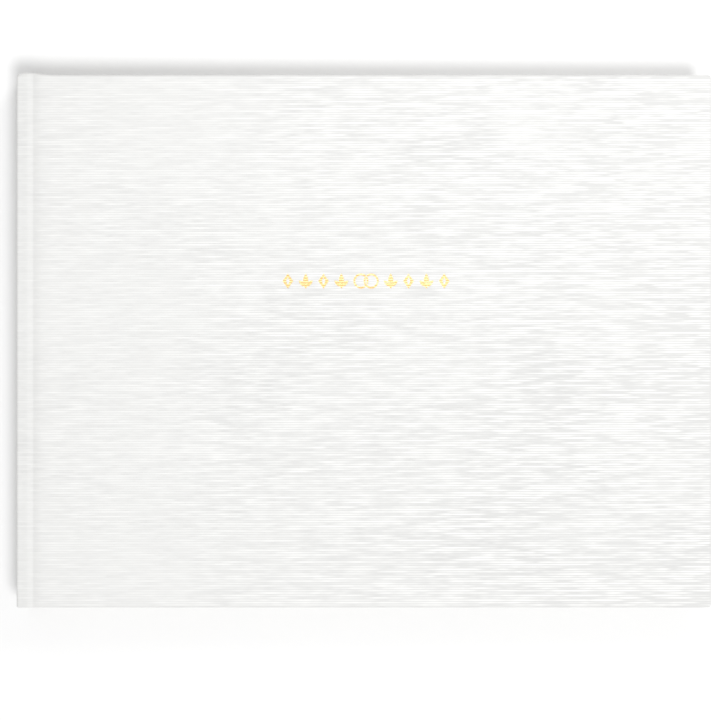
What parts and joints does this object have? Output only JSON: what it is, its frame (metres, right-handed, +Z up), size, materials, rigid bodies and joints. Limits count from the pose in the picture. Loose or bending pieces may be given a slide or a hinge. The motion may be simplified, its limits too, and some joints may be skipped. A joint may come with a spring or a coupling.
{
  "type": "guest book",
  "caption": "Landscape wedding guest book: case binding in ribbed white book cloth with a gold foil ornament, blank sewn leaves and endpapers, opening at the front cover and in the middle.",
  "frame": {"origin": "centre of the back cover's underside, under the middle of the closed book", "axes": "+X from the spine to the fore-edge, +Y from tail to head, +Z up out of the front cover"},
  "size_m": [0.3, 0.23, 0.02],
  "materials": {
    "book_cloth": "white ribbed book cloth, ribs along the width, soft sheen",
    "board": "grey-brown binder's board",
    "leaf_paper": "uncoated blank writing paper, soft white",
    "endpaper": "smooth uncoated endpaper, white",
    "lining": "kraft spine lining",
    "mull": "open-weave starched cotton",
    "headband": "woven cotton headband, ivory",
    "thread": "waxed linen thread",
    "foil": "pale gold hot-stamped foil"
  },
  "bodies": {
    "back_cover": {"back_board": "board", "back_cover_cloth": "book_cloth", "back_hinge_cloth": "book_cloth", "back_mull_flange": "mull", "back_pastedown": "endpaper", "back_flyleaf": "endpaper", "section_5": "leaf_paper", "section_6": "leaf_paper", "section_7": "leaf_paper", "section_8": "leaf_paper"},
    "spine": {"spine_board": "board", "spine_cloth": "book_cloth", "spine_lining": "lining", "mull": "mull", "headband_head": "headband", "headband_tail": "headband", "sewing_thread": "thread"},
    "front_block": {"section_1": "leaf_paper", "section_2": "leaf_paper", "section_3": "leaf_paper", "section_4": "leaf_paper", "front_hinge_cloth": "book_cloth"},
    "front_flyleaf": {"front_flyleaf": "endpaper"},
    "front_cover": {"front_board": "board", "front_cover_cloth": "book_cloth", "front_mull_flange": "mull", "front_pastedown": "endpaper", "foil_ornament": "foil"}
  },
  "joints": [
    {"name": "spine_swing", "type": "hinge", "parent": "back_cover", "child": "spine", "pos_m": [-0.1503, 0, -0.0003], "axis": [0, -1, 0], "range_deg": [0, 90]},
    {"name": "block_fold", "type": "hinge", "parent": "spine", "child": "front_block", "pos_m": [-0.1503, 0, 0.0203], "axis": [0, -1, 0], "range_deg": [0, 90]},
    {"name": "cover_hinge", "type": "hinge", "parent": "front_block", "child": "front_cover", "pos_m": [-0.1437, 0, 0.0203], "axis": [0, 1, 0], "range_deg": [-178, 0]},
    {"name": "flyleaf_lift", "type": "hinge", "parent": "front_block", "child": "front_flyleaf", "pos_m": [-0.1457, 0, 0.01695], "axis": [0, 1, 0], "range_deg": [-11, 0]}
  ],
  "couplings": [
    {"joint": "block_fold", "follows": "spine_swing", "ratio": 1},
    {"joint": "flyleaf_lift", "follows": "cover_hinge", "ratio": 0.06}
  ]
}
